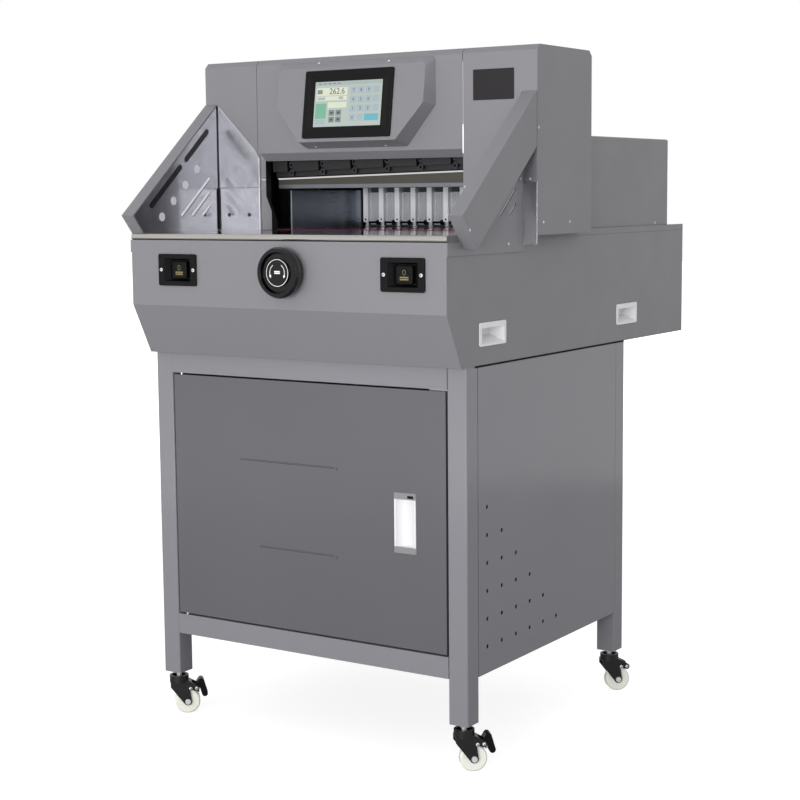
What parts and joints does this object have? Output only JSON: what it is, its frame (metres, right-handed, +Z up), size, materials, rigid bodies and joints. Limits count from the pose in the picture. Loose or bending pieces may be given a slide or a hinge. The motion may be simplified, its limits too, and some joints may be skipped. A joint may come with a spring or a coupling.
{
  "type": "programmable paper cutter",
  "caption": "Programmable electric paper cutter with a touch screen, back gauge, clamp and swinging knife on a wheeled cabinet stand with a door.",
  "frame": {"origin": "on the floor, under the middle of the outline seen from above", "axes": "+Z up, +X to the operator's right, -Y to the operator, who stands at the knob"},
  "size_m": [0.768, 1.012, 1.304],
  "materials": {
    "body_paint": "smooth mid grey powder coat",
    "stand_paint": "smooth mid grey powder coat, a little glossier",
    "door_paint": "smooth dark grey powder coat",
    "table_paint": "grey beige enamel, worn smooth",
    "frame_paint": "grey machine enamel on castings",
    "polished_steel": "polished stainless sheet",
    "bright_steel": "ground bright steel",
    "zinc_steel": "zinc plated",
    "black_carrier": "black oxide",
    "clamp_steel": "dull plated steel",
    "aluminium": "satin machined",
    "black_plastic": "moulded black ABS",
    "black_gloss": "smoked window",
    "white_plastic": "moulded white ABS",
    "nylon": "white nylon",
    "caster_steel": "black coated pressing",
    "red_plastic": "red nylon cutting stick",
    "display": "lit touch screen with a pale page"
  },
  "bodies": {
    "stand": {"stand_legs": "stand_paint", "stand_rails": "stand_paint", "side_panels": "stand_paint", "back_panel": "stand_paint", "cabinet_floor": "stand_paint", "hinge_pins": "zinc_steel", "door_catch": "white_plastic", "caster_stems": "zinc_steel", "console_base": "body_paint", "console_front": "body_paint", "console_shell": "body_paint", "front_table": "table_paint", "rear_table": "body_paint", "side_grips": "white_plastic", "button_housings": "black_plastic", "knob_encoder": "black_plastic", "frame_cheeks": "frame_paint", "crossbeam": "frame_paint", "pillar_cover_left": "body_paint", "pillar_cover_right": "body_paint", "head_cover": "body_paint", "screen_pod": "body_paint", "screen_bezel": "black_plastic", "screen_glass": "display", "rear_hood": "body_paint", "wing_left": "body_paint", "wing_right": "body_paint", "light_windows": "black_gloss", "guard_plates": "polished_steel", "side_guides": "polished_steel", "cutting_stick": "red_plastic", "gauge_rails": "bright_steel", "drive_motors": "frame_paint"},
    "door": {"door_panel": "door_paint", "door_handle": "white_plastic"},
    "cut_button_left": {"cut_button_left": "black_plastic"},
    "cut_button_right": {"cut_button_right": "black_plastic"},
    "knob": {"knob": "black_plastic"},
    "knife_block": {"knife_block": "bright_steel"},
    "knife_carrier": {"knife_carrier": "black_carrier", "knife": "bright_steel", "knife_bolts": "zinc_steel"},
    "clamp": {"clamp": "clamp_steel"},
    "back_gauge": {"gauge_body": "aluminium", "gauge_fingers": "aluminium"},
    "lead_screw": {"lead_screw": "bright_steel"},
    "caster_front_left": {"caster_fork_front_left": "caster_steel", "caster_axle_front_left": "zinc_steel"},
    "wheel_front_left": {"caster_wheel_front_left": "nylon"},
    "brake_front_left": {"caster_brake_front_left": "black_plastic"},
    "caster_front_right": {"caster_fork_front_right": "caster_steel", "caster_axle_front_right": "zinc_steel"},
    "wheel_front_right": {"caster_wheel_front_right": "nylon"},
    "brake_front_right": {"caster_brake_front_right": "black_plastic"},
    "caster_rear_left": {"caster_fork_rear_left": "caster_steel", "caster_axle_rear_left": "zinc_steel"},
    "wheel_rear_left": {"caster_wheel_rear_left": "nylon"},
    "caster_rear_right": {"caster_fork_rear_right": "caster_steel", "caster_axle_rear_right": "zinc_steel"},
    "wheel_rear_right": {"caster_wheel_rear_right": "nylon"}
  },
  "joints": [
    {"name": "door_hinge", "type": "hinge", "parent": "stand", "child": "door", "pos_m": [-0.299, -0.4045, 0.4535], "axis": [0, 0, -1], "range_deg": [0, 110]},
    {"name": "left_button_press", "type": "slide", "parent": "stand", "child": "cut_button_left", "axis": [0, 1, 0], "range_m": [0, 0.004], "stiffness_N_per_m": 800},
    {"name": "right_button_press", "type": "slide", "parent": "stand", "child": "cut_button_right", "axis": [0, 1, 0], "range_m": [0, 0.004], "stiffness_N_per_m": 800},
    {"name": "knob_turn", "type": "hinge", "parent": "stand", "child": "knob", "pos_m": [0.014, -0.478, 0.899], "axis": [0, 1, 0], "continuous": true},
    {"name": "knife_slide", "type": "slide", "parent": "stand", "child": "knife_block", "axis": [0, 0, -1], "range_m": [0, 0.10056]},
    {"name": "knife_swing", "type": "hinge", "parent": "knife_block", "child": "knife_carrier", "pos_m": [-0.232, -0.163, 1.18036], "axis": [0, 1, 0], "range_deg": [0, 1.35]},
    {"name": "clamp_slide", "type": "slide", "parent": "stand", "child": "clamp", "axis": [0, 0, -1], "range_m": [0, 0.0822]},
    {"name": "gauge_slide", "type": "slide", "parent": "stand", "child": "back_gauge", "axis": [0, 1, 0], "range_m": [-0.254, 0.156]},
    {"name": "lead_screw_turn", "type": "hinge", "parent": "stand", "child": "lead_screw", "pos_m": [-0.0085, -0.1015, 0.92], "axis": [0, 1, 0], "continuous": true},
    {"name": "swivel_front_left", "type": "hinge", "parent": "stand", "child": "caster_front_left", "pos_m": [-0.335, -0.394, 0.068], "axis": [0, 0, 1], "continuous": true},
    {"name": "roll_front_left", "type": "hinge", "parent": "caster_front_left", "child": "wheel_front_left", "pos_m": [-0.32311, -0.38329, 0.025], "axis": [0.6691, -0.7431, 0], "continuous": true},
    {"name": "pedal_front_left", "type": "hinge", "parent": "caster_front_left", "child": "brake_front_left", "pos_m": [-0.30973, -0.37125, 0.052], "axis": [-0.6691, 0.7431, 0], "range_deg": [0, 15]},
    {"name": "swivel_front_right", "type": "hinge", "parent": "stand", "child": "caster_front_right", "pos_m": [0.335, -0.394, 0.068], "axis": [0, 0, 1], "continuous": true},
    {"name": "roll_front_right", "type": "hinge", "parent": "caster_front_right", "child": "wheel_front_right", "pos_m": [0.34689, -0.38329, 0.025], "axis": [0.6691, -0.7431, 0], "continuous": true},
    {"name": "pedal_front_right", "type": "hinge", "parent": "caster_front_right", "child": "brake_front_right", "pos_m": [0.36027, -0.37125, 0.052], "axis": [-0.6691, 0.7431, 0], "range_deg": [0, 15]},
    {"name": "swivel_rear_left", "type": "hinge", "parent": "stand", "child": "caster_rear_left", "pos_m": [-0.335, 0.198, 0.068], "axis": [0, 0, 1], "continuous": true},
    {"name": "roll_rear_left", "type": "hinge", "parent": "caster_rear_left", "child": "wheel_rear_left", "pos_m": [-0.32311, 0.20871, 0.025], "axis": [0.6691, -0.7431, 0], "continuous": true},
    {"name": "swivel_rear_right", "type": "hinge", "parent": "stand", "child": "caster_rear_right", "pos_m": [0.335, 0.198, 0.068], "axis": [0, 0, 1], "continuous": true},
    {"name": "roll_rear_right", "type": "hinge", "parent": "caster_rear_right", "child": "wheel_rear_right", "pos_m": [0.34689, 0.20871, 0.025], "axis": [0.6691, -0.7431, 0], "continuous": true}
  ],
  "couplings": [
    {"joint": "knife_swing", "follows": "knife_slide", "rad_per_m": 0.23085},
    {"joint": "lead_screw_turn", "follows": "gauge_slide", "rad_per_m": 314.16}
  ]
}
